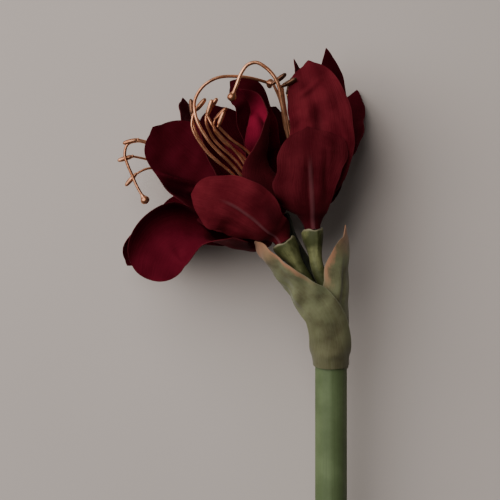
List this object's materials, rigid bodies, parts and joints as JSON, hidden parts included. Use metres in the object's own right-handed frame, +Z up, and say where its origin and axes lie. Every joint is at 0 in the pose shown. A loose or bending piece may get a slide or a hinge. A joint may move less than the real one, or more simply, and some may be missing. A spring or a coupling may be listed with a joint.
{
  "type": "amaryllis stem",
  "caption": "Cut amaryllis stem lying on a surface: dark red blooms with long stamens on short pedicels above a split spathe and a thick straight scape.",
  "frame": {"origin": "bottom centre of the box round the flower as it lies, on the surface under it", "axes": "+Z up, +Y along the stem from its cut end to the blooms, +X to the right seen from above with the blooms away from the viewer"},
  "size_m": [0.1666, 0.6734, 0.0944],
  "materials": {
    "petal": "matt velvety cloth, dark burgundy",
    "stamen": "satin copper",
    "stem": "matt sage green",
    "spathe": "matt sage green with rust edges"
  },
  "bodies": {
    "root": {"bloom_left": "petal", "bloom_right": "petal", "bloom_back": "petal", "stamens_left": "stamen", "stamens_right": "stamen", "stamens_back": "stamen", "pedicel_left": "stem", "pedicel_right": "stem", "pedicel_back": "stem", "spathe_left": "spathe", "spathe_right": "spathe", "stem": "stem"}
  },
  "joints": []
}
